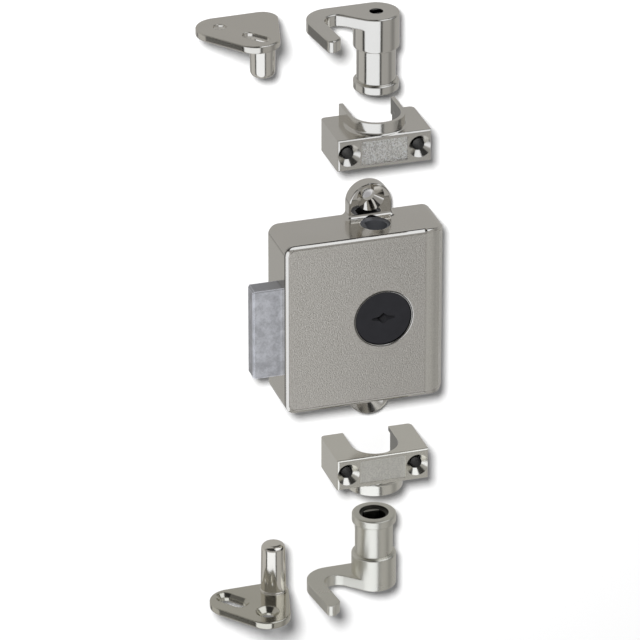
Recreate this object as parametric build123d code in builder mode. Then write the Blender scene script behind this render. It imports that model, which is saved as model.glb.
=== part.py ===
from build123d import *
import math
import os

# A rod lock for a cabinet door, shown as the set that comes out of its box.
# The back of every piece that screws to the door lies in the plane Y = 0, the room
# side of the lock faces -Y, the bolt leaves the case towards -X, and Z is up.
# The origin is on the door, behind the key axis. All sizes are millimetres.

# Lock case
backset = 35.0
case_far_side = 23.0
case_height = 63.0
case_depth = 20.0
case_wall = 2.0
case_corner_r = 3.5
case_roll_r = 8.0
case_bead_r = 0.8
panel_margin = 1.3
panel_groove_width = 0.35
panel_groove_depth = 0.25

# Screw ears
ear_width = 15.2
ear_thickness = 4.7
ear_rise = 12.5
ear_hole_rise = 7.4
case_screw_r = 2.2
case_screw_head_r = 4.9
ear_edge_r = 0.6
ear_root_r = 1.6

# Rods: round bar with one flat, turning about a line parallel to the door
rod_axis_depth = 10.0
rod_bore_r = 4.1
rod_flat_offset = 3.15
rod_bore_floor = 2.0

# Gearing: one pinion on the key rotor and one on each rod socket, all of one size
gear_module = 0.8
gear_teeth = 16
pressure_angle = 25.0
tooth_backlash = 0.12
dedendum_share = 1.25
tooth_embed = 0.2
flank_points = 5
rack_teeth_each_way = 1
turn_angle = 90.0

# Running gaps
running_gap = 0.05
sliding_gap = 0.15
seat_gap = 0.1

# All screw heads are countersunk at this angle
countersink_angle = 90.0

# How near an edge must lie to the place that it is picked by
pick_tolerance = 0.01

# Back plate and its screws
back_plate_t = 1.2
back_plate_lip = 1.0
back_plate_corner_r = 2.5
plate_screw_r = 1.5
plate_screw_head_r = 2.6
plate_screw_length = 8.0
plate_screw_slot_width = 0.8
plate_screw_slot_depth = 0.6
corner_boss_r = 2.9
corner_boss_inset = 3.2

# Key sleeve and rotor
sleeve_r = 10.5
sleeve_bore_r = 10.0
sleeve_flange_r = 11.4
sleeve_flange_t = 0.8
sleeve_length = 3.4
sleeve_edge_r = 0.15
sleeve_recess = 0.2
case_hole_chamfer = 0.3
rotor_recess = 0.6
rotor_rim_chamfer = 0.3
rotor_groove_r = 8.9
rotor_shoulder_r = 9.9
rotor_shoulder_t = 0.7
rotor_shaft_r = 5.3
rotor_journal_r = 5.2
key_slot_half_width = 4.0
key_slot_half_height = 2.0
key_slot_tip_half = 0.35
key_slot_waist_x = 1.6
key_slot_waist_half = 0.75
clip_t = 0.7
clip_r = 10.9
clip_gap_half = 2.2
clip_ear_r = 1.3
clip_ear_hole_r = 0.5

# Bolt
bolt_throw_out = 10.4
bolt_top = 15.0
bolt_bottom = -18.0
bolt_t = 6.2
bolt_back_depth = 10.0
bolt_head_inside = 12.5
bolt_bevel = 0.6
tail_half_height = 19.8
tail_right_end = 10.5
tail_web_right = -25.5
tail_web_inset = 3.0
rack_rise = 2.0
rack_back_t = 1.8
window_gap = 0.3

# Guide pins of the bolt
guide_pin_r = 1.5
guide_pin_x = 9.5
guide_pin_z = 11.0
guide_pin_press = 6.0
guide_boss_r = 2.6
guide_boss_length = 7.0

# Rod sockets and the bridges that carry their lower ends
socket_journal_r = 5.1
socket_recess = 0.6
socket_collar_r = 6.4
socket_collar_t = 1.4
socket_gear_start = 15.4
socket_gear_width = 3.6
socket_stub_r = 3.0
socket_stub_length = 2.3
bridge_half_width = 7.0
bridge_start = 13.0
bridge_t = 2.0
bridge_rail_t = 1.2
bridge_rail_length = 4.0

# Detent spring
spring_strip_t = 0.5
spring_width = 2.8
spring_tail_overlap = 1.0
spring_leaf_gap = 1.0
spring_tab_t = 0.6
spring_screw_x = 11.0
spring_screw_inset = 4.0
spring_screw_r = 1.25
spring_screw_head_r = 2.2
spring_screw_head_t = 1.4
spring_screw_length = 6.0
spring_boss_r = 2.8
detent_x = -8.0
detent_depth = 0.8
detent_half_width = 1.2

# Rod guides
guide_width = 33.0
guide_height = 11.4
guide_depth = 20.0
guide_top_z = 57.4
guide_bottom_z = -52.6
guide_lip_r = 8.3
guide_lip_t = 1.6
guide_recess_r = 9.0
guide_collar_r = 8.5
guide_collar_out_r = 9.9
guide_collar_rise = 4.4
guide_screw_spacing = 25.0
guide_screw_r = 2.1
guide_screw_head_r = 4.0
guide_panel_width = 16.3
guide_panel_height = 8.7
guide_panel_depth = 0.3
guide_tip_r = 1.6
guide_edge_r = 0.8
guide_panel_corner_r = 0.5

# Hooks, their places and the arm's outline about the rod axis
top_hook_z = 82.5
bottom_hook_z = -80.0
hook_plate_t = 4.2
hook_barrel_r = 7.85
hook_barrel_length = 8.3
hook_neck_r = 6.65
hook_neck_length = 12.0
hook_flange_r = 7.75
hook_flange_t = 3.2
hook_mouth_relief_r = 5.1
hook_mouth_relief_depth = 1.0
hook_pilot_r = 2.3
hook_pilot_flat = 1.7
hook_bore_floor = 2.0
hook_throat_x = -14.3
hook_throat_front = 3.6
hook_throat_r = 4.65
hook_reach = 24.6
hook_back = 7.6
hook_heel_r = 9.2
hook_tip_outer_x = -22.4
hook_tip_outer_front = 21.2
hook_tip_inner_x = -17.7
hook_tip_inner_front = 17.6
hook_tip_r = 1.8
hook_rim_r = 0.5
hook_shoulder_r = 0.8

# Strike plates: the pin that a hook grips, on a plate with a round hole and a slot
strike_t = 2.7
strike_lobe_r = 8.0
strike_pin_lobe_r = 5.3
strike_pin_r = 4.5
strike_pin_tip_r = 4.2
strike_pin_length = 18.2
strike_pin_round = 2.0
strike_pin_ring_r = 4.8
strike_pin_ring_t = 0.6
strike_screw_r = 2.2
strike_hole_head_r = 4.0
strike_slot_head_r = 3.5
strike_reach = 16.0
strike_spread_angle = 27.4
strike_aim_angle = 141.5
strike_slot_run = 6.0
strike_edge_r = 0.5
top_strike_x = -40.4
top_strike_z = 111.4
top_strike_front = 2.4
bottom_strike_x = -38.0
bottom_strike_z = -102.0
bottom_strike_front = 4.4

os.makedirs("parts", exist_ok=True)

# Sizes that follow from the ones above
half_height = case_height / 2
cavity_half = half_height - case_wall
case_left = -backset
case_right = case_far_side
cavity_left = case_left + case_wall
cavity_right = case_right - case_wall
cavity_front = case_depth - case_wall
pitch_r = gear_module * gear_teeth / 2
tooth_pitch = math.pi * gear_module
addendum = gear_module
dedendum = gear_module * dedendum_share
tip_r = pitch_r + addendum
root_r = pitch_r - dedendum
bolt_travel = pitch_r * math.radians(turn_angle)
sink_taper = countersink_angle / 2
bolt_out = case_left - bolt_throw_out
tail_back = back_plate_t + seat_gap
tail_front = rod_axis_depth - pitch_r - dedendum
tail_t = tail_front - tail_back
rack_face_depth = tail_front + rack_rise
socket_rack_y = pitch_r - rod_axis_depth
spring_back_depth = tail_front - spring_tail_overlap
spring_front_depth = spring_back_depth + spring_width
spring_screw_z = spring_screw_inset - cavity_half
corner_boss_x = (cavity_left + corner_boss_inset, cavity_right - corner_boss_inset)
corner_boss_z = cavity_half - corner_boss_inset
case_screw_z = half_height + ear_hole_rise
rotor_shoulder_front = case_depth - sleeve_length - clip_t - seat_gap
pinion_back_depth = back_plate_t + 2 * seat_gap
pinion_front_depth = rack_face_depth + window_gap


def export(piece, name):
    piece.part.label = name
    export_step(piece.part, f"parts/{name}.step")


def level(z):
    """The horizontal plane at height z, with its origin on the rod axis."""
    return Plane((0, -rod_axis_depth, z), x_dir=(1, 0, 0), z_dir=(0, 0, 1))


def upright(depth):
    """The plane parallel to the door at that depth, facing the room."""
    return Plane.XZ.offset(depth)


def involute(angle):
    return math.tan(angle) - angle


def gear_tooth():
    """One tooth that points along +X, reaching a little inside the root circle."""
    base_r = pitch_r * math.cos(math.radians(pressure_angle))
    pitch_half = (tooth_pitch - tooth_backlash) / 4 / pitch_r
    spread = pitch_half + involute(math.radians(pressure_angle))
    flank = []
    for i in range(flank_points):
        radius = base_r + (tip_r - base_r) * i / (flank_points - 1)
        half = spread - involute(math.acos(base_r / radius))
        flank.append((radius * math.cos(half), radius * math.sin(half)))
    foot_r = root_r - tooth_embed
    foot = (foot_r * math.cos(spread), foot_r * math.sin(spread))
    other_flank = [(x, -y) for x, y in reversed(flank)]
    with BuildSketch(mode=Mode.PRIVATE) as tooth:
        with BuildLine():
            Line(foot, flank[0])
            Spline(*flank)
            ThreePointArc(flank[-1], (tip_r, 0), other_flank[0])
            Spline(*other_flank)
            Line(other_flank[-1], (foot[0], -foot[1]))
            Line((foot[0], -foot[1]), foot)
        make_face()
    return tooth.sketch


def pinion(plane, width, first_tooth):
    """A pinion on the builder's part, with one tooth at that angle on the plane."""
    tooth = gear_tooth()
    with BuildSketch(plane) as gear:
        Circle(root_r)
        with PolarLocations(0, gear_teeth, start_angle=first_tooth):
            add(tooth)
    extrude(gear.sketch, amount=width)


def rack(plane, width):
    """Rack teeth on the builder's part, pointing to the plane's -Y about its X axis."""
    slope = math.tan(math.radians(pressure_angle))
    pitch_half = (tooth_pitch - tooth_backlash) / 4
    bite = dedendum + tooth_embed
    root_half = pitch_half + bite * slope
    tip_half = pitch_half - addendum * slope
    travel_teeth = round(bolt_travel / tooth_pitch)
    first = -travel_teeth - rack_teeth_each_way - 1
    last = rack_teeth_each_way
    places = [((i + 0.5) * tooth_pitch, 0) for i in range(first, last + 1)]
    with BuildSketch(plane) as teeth:
        with Locations(*places):
            Polygon(
                (-root_half, bite), (-tip_half, -addendum),
                (tip_half, -addendum), (root_half, bite), align=None,
            )
    extrude(teeth.sketch, amount=width)


def rod_section(radius, flat_offset, flat_side):
    """A circle with one flat, the flat lying towards flat_side degrees."""
    Circle(radius)
    turn = math.radians(flat_side)
    middle = (flat_offset + radius) * math.cos(turn), (flat_offset + radius) * math.sin(turn)
    with Locations(Location((*middle, 0), (0, 0, flat_side))):
        Rectangle(2 * radius, 4 * radius, mode=Mode.SUBTRACT)


# Lock case: a die-cast shell, open at the back, with a screw ear at each end
case_mid_x = (case_left + case_right) / 2
case_width = case_right - case_left
cavity_mid_x = (cavity_left + cavity_right) / 2
cavity_width = cavity_right - cavity_left
rolled_outline_y = -case_depth / 2

with BuildPart() as case_shell:
    with BuildSketch(upright(0)):
        with Locations((case_mid_x, 0)):
            RectangleRounded(case_width, case_height, case_corner_r)
    extrude(amount=case_depth)
    fillet(case_shell.faces().sort_by(Axis.Y)[0].edges(), case_bead_r)
    with BuildSketch(Plane.XY.offset(-case_height)) as rolled:
        with Locations((case_mid_x, rolled_outline_y)):
            Rectangle(case_width, case_depth)
        roll_corner = rolled.vertices().group_by(Axis.Y)[0].sort_by(Axis.X)[-1]
        fillet(roll_corner, case_roll_r)
    extrude(amount=2 * case_height, mode=Mode.INTERSECT)

    # Ears, with straight sides and a round end
    for side in (1, -1):
        arch_z = side * (half_height + ear_rise - ear_width / 2)
        root_z = side * (half_height - case_wall)
        with BuildSketch(upright(0)):
            with Locations((0, arch_z)):
                Circle(ear_width / 2)
            with Locations((0, (arch_z + root_z) / 2)):
                Rectangle(ear_width, abs(arch_z - root_z))
        extrude(amount=ear_thickness)
    ear_front_edges = case_shell.edges().filter_by(
        lambda e: abs(e.center().Y + ear_thickness) < pick_tolerance
        and abs(e.center().Z) > half_height + pick_tolerance
    )
    fillet(ear_front_edges, ear_edge_r)
    ear_roots = case_shell.edges().filter_by(Axis.X).filter_by(
        lambda e: abs(e.center().Y + ear_thickness) < pick_tolerance
        and abs(abs(e.center().Z) - half_height) < pick_tolerance
    )
    fillet(ear_roots, ear_root_r)

    # Cavity, open at the back, with a rebate for the back plate
    with BuildSketch(upright(0)):
        with Locations((cavity_mid_x, 0)):
            RectangleRounded(cavity_width, 2 * cavity_half, case_corner_r - case_wall)
    extrude(amount=cavity_front, mode=Mode.SUBTRACT)
    with BuildSketch(upright(0)):
        with Locations((cavity_mid_x, 0)):
            RectangleRounded(
                cavity_width + 2 * back_plate_lip,
                2 * (cavity_half + back_plate_lip), back_plate_corner_r,
            )
    extrude(amount=back_plate_t, mode=Mode.SUBTRACT)

    # Inside of the rolled edge
    with BuildSketch(Plane.XY.offset(-cavity_half)) as corner_fill:
        roll_centre = (case_right - case_roll_r, case_roll_r - case_depth)
        inner_roll_r = case_roll_r - case_wall
        with Locations(((roll_centre[0] + cavity_right) / 2, (roll_centre[1] - cavity_front) / 2)):
            Rectangle(cavity_right - roll_centre[0], cavity_front + roll_centre[1])
        with Locations(roll_centre):
            Circle(inner_roll_r, mode=Mode.SUBTRACT)
    extrude(amount=2 * cavity_half)

    # Bosses for the back plate screws, the bolt's guide pins and the spring
    with BuildSketch(upright(back_plate_t)):
        for x in corner_boss_x:
            with Locations((x, corner_boss_z), (x, -corner_boss_z)):
                Circle(corner_boss_r)
    extrude(amount=cavity_front - back_plate_t)
    with BuildSketch(upright(back_plate_t)):
        for x in corner_boss_x:
            with Locations((x, corner_boss_z), (x, -corner_boss_z)):
                Circle(plate_screw_r)
    extrude(amount=plate_screw_length, mode=Mode.SUBTRACT)
    with BuildSketch(upright(cavity_front)):
        with Locations((guide_pin_x, guide_pin_z), (guide_pin_x, -guide_pin_z)):
            Circle(guide_boss_r)
    extrude(amount=-guide_boss_length)
    with BuildSketch(upright(cavity_front - guide_boss_length)):
        with Locations((guide_pin_x, guide_pin_z), (guide_pin_x, -guide_pin_z)):
            Circle(guide_pin_r)
    extrude(amount=guide_pin_press, mode=Mode.SUBTRACT)
    with BuildSketch(upright(spring_front_depth)):
        with Locations((spring_screw_x, spring_screw_z)):
            Circle(spring_boss_r)
    extrude(amount=cavity_front - spring_front_depth)
    with BuildSketch(upright(spring_front_depth)):
        with Locations((spring_screw_x, spring_screw_z)):
            Circle(spring_screw_r)
    extrude(amount=spring_screw_length, mode=Mode.SUBTRACT)

    # Rails that hold the two socket bridges
    for side in (1, -1):
        rail_z = side * (bridge_start + bridge_t / 2)
        with BuildSketch(upright(cavity_front)):
            for x_side in (1, -1):
                with Locations((x_side * (bridge_half_width + bridge_rail_t / 2), rail_z)):
                    Rectangle(bridge_rail_t, bridge_t)
            with Locations((0, side * (bridge_start - bridge_rail_t / 2))):
                Rectangle(2 * (bridge_half_width + bridge_rail_t), bridge_rail_t)
        extrude(amount=-bridge_rail_length)

    # Hole for the key sleeve, with its bright chamfer
    with BuildSketch(upright(cavity_front)):
        Circle(sleeve_r)
    extrude(amount=case_wall, mode=Mode.SUBTRACT)
    sleeve_rim = case_shell.edges().filter_by(GeomType.CIRCLE).filter_by(
        lambda e: abs(e.radius - sleeve_r) < pick_tolerance
        and abs(e.center().Y + case_depth) < pick_tolerance
    )
    chamfer(sleeve_rim, case_hole_chamfer)

    # Rod holes in the top and the bottom
    with BuildSketch(level(-case_height)):
        Circle(socket_journal_r + running_gap)
    extrude(amount=case_height - cavity_half + case_wall / 2, mode=Mode.SUBTRACT)
    with BuildSketch(level(cavity_half - case_wall / 2)):
        Circle(socket_journal_r + running_gap)
    extrude(amount=case_height, mode=Mode.SUBTRACT)

    # Opening for the bolt in the left side
    bolt_mid_z = (bolt_top + bolt_bottom) / 2
    bolt_height = bolt_top - bolt_bottom
    bolt_mid_y = -bolt_back_depth - bolt_t / 2
    with BuildSketch(Plane.YZ.offset(case_left - case_wall)):
        with Locations((bolt_mid_y, bolt_mid_z)):
            Rectangle(bolt_t + 2 * sliding_gap, bolt_height + 2 * sliding_gap)
    extrude(amount=2 * case_wall + back_plate_lip, mode=Mode.SUBTRACT)

    # Screw holes in the ears, countersunk from the room side
    for side in (1, -1):
        with Locations(Plane((0, -ear_thickness, side * case_screw_z), x_dir=(1, 0, 0), z_dir=(0, -1, 0))):
            CounterSinkHole(case_screw_r, case_screw_head_r, counter_sink_angle=countersink_angle)

    # Fine groove that frames the grained panel on three sides
    flat_right = case_right - case_roll_r
    panel_left = case_left + panel_margin
    panel_half = half_height - panel_margin
    with BuildSketch(upright(case_depth)):
        with BuildLine():
            FilletPolyline(
                (flat_right, panel_half), (panel_left, panel_half),
                (panel_left, -panel_half), (flat_right, -panel_half),
                radius=case_corner_r - panel_margin,
            )
            offset(amount=panel_groove_width / 2, side=Side.BOTH)
        make_face()
    extrude(amount=-panel_groove_depth, mode=Mode.SUBTRACT)
export(case_shell, "case_shell")

# Back plate
with BuildPart() as back_plate:
    with BuildSketch(upright(0)):
        with Locations((cavity_mid_x, 0)):
            RectangleRounded(
                cavity_width + 2 * back_plate_lip - 2 * sliding_gap,
                2 * (cavity_half + back_plate_lip - sliding_gap),
                back_plate_corner_r - sliding_gap,
            )
        Circle(rotor_journal_r + running_gap, mode=Mode.SUBTRACT)
    extrude(amount=back_plate_t)
    for x in corner_boss_x:
        for z in (corner_boss_z, -corner_boss_z):
            with Locations(Plane((x, 0, z), x_dir=(1, 0, 0), z_dir=(0, 1, 0))):
                CounterSinkHole(plate_screw_r, plate_screw_head_r, counter_sink_angle=countersink_angle)
export(back_plate, "back_plate")

# Back plate screws: four alike, countersunk, with slotted heads
with BuildPart() as back_plate_screws:
    for x in corner_boss_x:
        for z in (corner_boss_z, -corner_boss_z):
            seat = Plane((x, 0, z), x_dir=(1, 0, 0), z_dir=(0, -1, 0))
            head_t = plate_screw_head_r - plate_screw_r
            with BuildSketch(seat):
                Circle(plate_screw_r)
            extrude(amount=back_plate_t + plate_screw_length)
            with BuildSketch(seat):
                Circle(plate_screw_head_r)
            extrude(amount=head_t, taper=sink_taper)
            with BuildSketch(seat):
                Rectangle(2 * plate_screw_head_r, plate_screw_slot_width)
            extrude(amount=plate_screw_slot_depth, mode=Mode.SUBTRACT)
export(back_plate_screws, "back_plate_screws")

# Key sleeve: a ring pressed into the case, flanged on the inside
with BuildPart() as core_sleeve:
    with BuildSketch(upright(case_depth - sleeve_length)):
        Circle(sleeve_r)
        Circle(sleeve_bore_r, mode=Mode.SUBTRACT)
    extrude(amount=sleeve_length - sleeve_recess)
    with BuildSketch(upright(cavity_front - sleeve_flange_t)):
        Circle(sleeve_flange_r)
        Circle(sleeve_bore_r, mode=Mode.SUBTRACT)
    extrude(amount=sleeve_flange_t)
    front_rims = core_sleeve.faces().sort_by(Axis.Y)[0].edges()
    fillet(front_rims, sleeve_edge_r)
export(core_sleeve, "core_sleeve")

# Key rotor: face disc, clip groove, shaft, pinion and rear journal in one moulding
rotor_face_depth = case_depth - rotor_recess
sleeve_back_depth = case_depth - sleeve_length
with BuildPart() as key_rotor:
    with BuildSketch(upright(sleeve_back_depth)):
        Circle(sleeve_bore_r - running_gap)
    extrude(amount=rotor_face_depth - sleeve_back_depth)
    with BuildSketch(upright(rotor_shoulder_front)):
        Circle(rotor_groove_r)
    extrude(amount=sleeve_back_depth - rotor_shoulder_front)
    with BuildSketch(upright(rotor_shoulder_front - rotor_shoulder_t)):
        Circle(rotor_shoulder_r)
    extrude(amount=rotor_shoulder_t)
    with BuildSketch(upright(pinion_back_depth)):
        Circle(rotor_shaft_r)
    extrude(amount=rotor_shoulder_front - pinion_back_depth)
    with BuildSketch(upright(seat_gap)):
        Circle(rotor_journal_r)
    extrude(amount=pinion_back_depth)
    pinion(upright(pinion_back_depth), pinion_front_depth - pinion_back_depth, 90)
    with BuildSketch(upright(0)):
        star = [
            (key_slot_half_width, key_slot_tip_half), (key_slot_waist_x, key_slot_waist_half),
            (0, key_slot_half_height), (-key_slot_waist_x, key_slot_waist_half),
            (-key_slot_half_width, key_slot_tip_half),
        ]
        Polygon(*star, *[(-x, -z) for x, z in star], align=None)
    extrude(amount=case_depth, mode=Mode.SUBTRACT)
    face_rim = key_rotor.faces().sort_by(Axis.Y)[0].edges().filter_by(GeomType.CIRCLE)
    chamfer(face_rim, rotor_rim_chamfer)
export(key_rotor, "key_rotor")

# Circlip that keeps the rotor in the sleeve
with BuildPart() as rotor_circlip:
    clip_plane = upright(sleeve_back_depth - seat_gap / 2 - clip_t)
    ear_x = clip_gap_half + clip_ear_r
    ear_z = -math.sqrt((clip_r - clip_ear_r) ** 2 - ear_x ** 2)
    with BuildSketch(clip_plane):
        Circle(clip_r)
        Circle(rotor_groove_r + running_gap, mode=Mode.SUBTRACT)
        with Locations((0, -clip_r)):
            Rectangle(2 * clip_gap_half, clip_r, mode=Mode.SUBTRACT)
        with Locations((ear_x, ear_z), (-ear_x, ear_z)):
            Circle(clip_ear_hole_r, mode=Mode.SUBTRACT)
    extrude(amount=clip_t)
export(rotor_circlip, "rotor_circlip")

# Bolt: the head, a web, and a flat tail frame that carries three racks
with BuildPart() as bolt:
    head_inner = case_left + bolt_head_inside
    with BuildSketch(upright(bolt_back_depth)):
        with Locations(((bolt_out + head_inner) / 2, bolt_mid_z)):
            Rectangle(head_inner - bolt_out, bolt_height)
    extrude(amount=bolt_t)
    chamfer(bolt.faces().sort_by(Axis.X)[0].edges(), bolt_bevel)

    web_left = cavity_left + 2 * sliding_gap
    with BuildSketch(upright(tail_back)):
        with Locations(((web_left + tail_web_right) / 2, bolt_mid_z)):
            Rectangle(tail_web_right - web_left, bolt_height - 2 * tail_web_inset)
    extrude(amount=bolt_back_depth - tail_back)
    with BuildSketch(upright(tail_back)):
        with Locations(((web_left + tail_right_end) / 2, 0)):
            Rectangle(tail_right_end - web_left, 2 * tail_half_height)
    extrude(amount=tail_t)

    # Window around the rotor's pinion, and its rack along the upper edge
    window_left = -bolt_travel - tip_r - window_gap
    window_right = tip_r + window_gap
    window_bottom = -tip_r - window_gap
    window_top = pitch_r + dedendum
    with BuildSketch(upright(tail_back)):
        with Locations(((window_left + window_right) / 2, (window_top + window_bottom) / 2)):
            Rectangle(window_right - window_left, window_top - window_bottom)
    extrude(amount=tail_t, mode=Mode.SUBTRACT)
    with BuildSketch(upright(tail_back)):
        with Locations(((window_left + window_right) / 2, window_top + rack_back_t / 2)):
            Rectangle(window_right - window_left, rack_back_t)
    extrude(amount=rack_face_depth - tail_back)
    key_rack = Plane((0, -tail_back, pitch_r), x_dir=(1, 0, 0), z_dir=(0, -1, 0))
    rack(key_rack, rack_face_depth - tail_back)

    # Racks for the rod sockets, teeth towards the rod axis
    rack_width = socket_gear_width - 2 * sliding_gap
    for side in (1, -1):
        low_z = min(side * socket_gear_start, side * (socket_gear_start + socket_gear_width))
        rack_plane = Plane((0, socket_rack_y, low_z + sliding_gap), x_dir=(1, 0, 0), z_dir=(0, 0, 1))
        rack(rack_plane, rack_width)

    # Fork slots for the guide pins, open at the right end
    slot_half = guide_pin_r + seat_gap
    slot_left = guide_pin_x - bolt_travel - sliding_gap
    with BuildSketch(upright(tail_back)):
        for z in (guide_pin_z, -guide_pin_z):
            with Locations((slot_left, z)):
                Circle(slot_half)
            with Locations(((slot_left + tail_right_end) / 2, z)):
                Rectangle(tail_right_end - slot_left, 2 * slot_half)
    extrude(amount=tail_t, mode=Mode.SUBTRACT)

    # Two notches for the detent, one for each end of the travel
    with BuildSketch(upright(tail_back)):
        with Locations((detent_x, -tail_half_height), (detent_x - bolt_travel, -tail_half_height)):
            Polygon(
                (-detent_half_width, 0), (0, detent_depth), (detent_half_width, 0),
                (0, -detent_depth), align=None,
            )
    extrude(amount=rack_face_depth - tail_back, mode=Mode.SUBTRACT)
export(bolt, "bolt")

# Guide pins, pressed into the case
with BuildPart() as bolt_guide_pins:
    pin_front = cavity_front - guide_boss_length + guide_pin_press
    with BuildSketch(upright(tail_back)):
        with Locations((guide_pin_x, guide_pin_z), (guide_pin_x, -guide_pin_z)):
            Circle(guide_pin_r)
    extrude(amount=pin_front - tail_back)
export(bolt_guide_pins, "bolt_guide_pins")


def rod_socket(name, side):
    """A socket that turns a rod. side is 1 above the key and -1 below it."""
    with BuildPart() as socket:
        mouth = half_height - socket_recess
        gear_end = socket_gear_start + socket_gear_width
        with BuildSketch(level(side * gear_end)):
            Circle(socket_journal_r)
        extrude(amount=side * (mouth - gear_end))
        with BuildSketch(level(side * (cavity_half - sliding_gap - socket_collar_t))):
            Circle(socket_collar_r)
        extrude(amount=side * socket_collar_t)
        with BuildSketch(level(side * (socket_gear_start - socket_stub_length))):
            Circle(socket_stub_r)
        extrude(amount=side * socket_stub_length)
        low_z = min(side * socket_gear_start, side * gear_end)
        pinion(level(low_z), socket_gear_width, 90)
        with BuildSketch(level(side * mouth)):
            rod_section(rod_bore_r, rod_flat_offset, 180)
        extrude(amount=-side * (mouth - socket_gear_start - rod_bore_floor), mode=Mode.SUBTRACT)
    export(socket, name)


rod_socket("upper_rod_socket", 1)
rod_socket("lower_rod_socket", -1)


def socket_bridge(name, side):
    """The loose block that carries a socket's stub, slid between the case's rails."""
    with BuildPart() as bridge:
        with BuildSketch(level(side * bridge_start)):
            front_y = rod_axis_depth - cavity_front
            back_y = rod_axis_depth - tail_front - seat_gap
            with Locations((0, (front_y + back_y) / 2)):
                Rectangle(2 * bridge_half_width, back_y - front_y)
            Circle(socket_stub_r + running_gap, mode=Mode.SUBTRACT)
        extrude(amount=side * bridge_t)
    export(bridge, name)


socket_bridge("upper_socket_bridge", 1)
socket_bridge("lower_socket_bridge", -1)

# Detent spring: a flat tab under a screw, and a leaf with a nose for the notches
nose_top = detent_depth - tail_half_height - seat_gap
leaf_low = nose_top - 2 * detent_depth
leaf_end_x = spring_screw_x + spring_boss_r
leaf_start_z = -tail_half_height - spring_leaf_gap - spring_strip_t
with BuildPart() as detent_spring:
    with BuildSketch(upright(spring_back_depth)):
        with BuildLine():
            upper = [
                (leaf_end_x, leaf_start_z + spring_strip_t),
                (detent_x + 2 * detent_half_width, leaf_low),
                (detent_x + detent_half_width, leaf_low + spring_strip_t),
                (detent_x, nose_top),
                (detent_x - detent_half_width, leaf_low + spring_strip_t),
                (detent_x - 3 * detent_half_width, leaf_low),
            ]
            Polyline(*upper, *[(x, z - spring_strip_t) for x, z in reversed(upper)], close=True)
        make_face()
    extrude(amount=spring_front_depth - spring_back_depth)
    with BuildSketch(upright(spring_front_depth - spring_tab_t)):
        with Locations((spring_screw_x, spring_screw_z)):
            Circle(spring_boss_r)
        with Locations((spring_screw_x, (spring_screw_z + leaf_start_z + spring_strip_t) / 2)):
            Rectangle(2 * spring_boss_r, leaf_start_z + spring_strip_t - spring_screw_z)
        with Locations((spring_screw_x, spring_screw_z)):
            Circle(spring_screw_r, mode=Mode.SUBTRACT)
    extrude(amount=spring_tab_t)
export(detent_spring, "detent_spring")

# Screw of the detent spring
with BuildPart() as detent_spring_screw:
    tab_back = spring_front_depth - spring_tab_t
    with BuildSketch(upright(tab_back - spring_screw_head_t)):
        with Locations((spring_screw_x, spring_screw_z)):
            Circle(spring_screw_head_r)
    extrude(amount=spring_screw_head_t)
    with BuildSketch(upright(tab_back)):
        with Locations((spring_screw_x, spring_screw_z)):
            Circle(spring_screw_r)
    extrude(amount=spring_tab_t + spring_screw_length)
    with BuildSketch(upright(tab_back - spring_screw_head_t)):
        with Locations((spring_screw_x, spring_screw_z)):
            Rectangle(2 * spring_screw_head_r, plate_screw_slot_width)
    extrude(amount=plate_screw_slot_depth, mode=Mode.SUBTRACT)
export(detent_spring_screw, "detent_spring_screw")


def channel(radius):
    """The plan of a round channel on the rod axis that runs straight out to the door."""
    Circle(radius)
    with Locations((0, rod_axis_depth / 2)):
        Rectangle(2 * radius, rod_axis_depth)
    with Locations((0, rod_axis_depth + radius)):
        Rectangle(2 * radius, 2 * radius, mode=Mode.SUBTRACT)


def rod_guide(name, near_z, side):
    """A guide screwed to the door. near_z is the face towards the lock case."""
    far_z = near_z + side * guide_height
    mid_z = (near_z + far_z) / 2
    with BuildPart() as guide:
        with BuildSketch(level(near_z)):
            with Locations((0, rod_axis_depth - guide_depth / 2)):
                Rectangle(guide_width, guide_depth)
        extrude(amount=side * guide_height)
        corners = guide.edges().filter_by(Axis.Z).group_by(Axis.Y)
        fillet(corners[-1], guide_tip_r)
        fillet(guide.faces().sort_by(Axis.Y)[0].edges(), guide_edge_r)

        # Half ring on the far side, with straight legs back to the door
        with BuildSketch(level(mid_z)):
            channel(guide_collar_out_r)
        extrude(amount=side * (guide_height / 2 + guide_collar_rise))

        # Channel: a lip on the side of the lock, a wider run, and the ring's bore
        with BuildSketch(level(near_z)):
            channel(guide_lip_r)
        extrude(amount=side * guide_height, mode=Mode.SUBTRACT)
        with BuildSketch(level(near_z + side * guide_lip_t)):
            channel(guide_recess_r)
        extrude(amount=side * (guide_height - 2 * guide_lip_t), mode=Mode.SUBTRACT)
        with BuildSketch(level(far_z - side * guide_lip_t)):
            channel(guide_collar_r)
        extrude(amount=side * (guide_lip_t + guide_collar_rise), mode=Mode.SUBTRACT)

        # Shallow panel between the screws
        with BuildSketch(upright(guide_depth)):
            with Locations((0, mid_z)):
                RectangleRounded(guide_panel_width, guide_panel_height, guide_panel_corner_r)
        extrude(amount=-guide_panel_depth, mode=Mode.SUBTRACT)

        for x in (guide_screw_spacing / 2, -guide_screw_spacing / 2):
            with Locations(Plane((x, -guide_depth, mid_z), x_dir=(1, 0, 0), z_dir=(0, -1, 0))):
                CounterSinkHole(guide_screw_r, guide_screw_head_r, counter_sink_angle=countersink_angle)
    export(guide, name)


rod_guide("top_guide", guide_top_z, 1)
rod_guide("bottom_guide", guide_bottom_z, -1)


def on_circle(centre, radius, angle):
    """The point of a circle at that angle in degrees."""
    turn = math.radians(angle)
    return (centre[0] + radius * math.cos(turn), centre[1] + radius * math.sin(turn))


def arc(centre, radius, first, last):
    """The arc of a circle between two angles in degrees."""
    ThreePointArc(*[on_circle(centre, radius, angle) for angle in (first, (first + last) / 2, last)])


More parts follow.
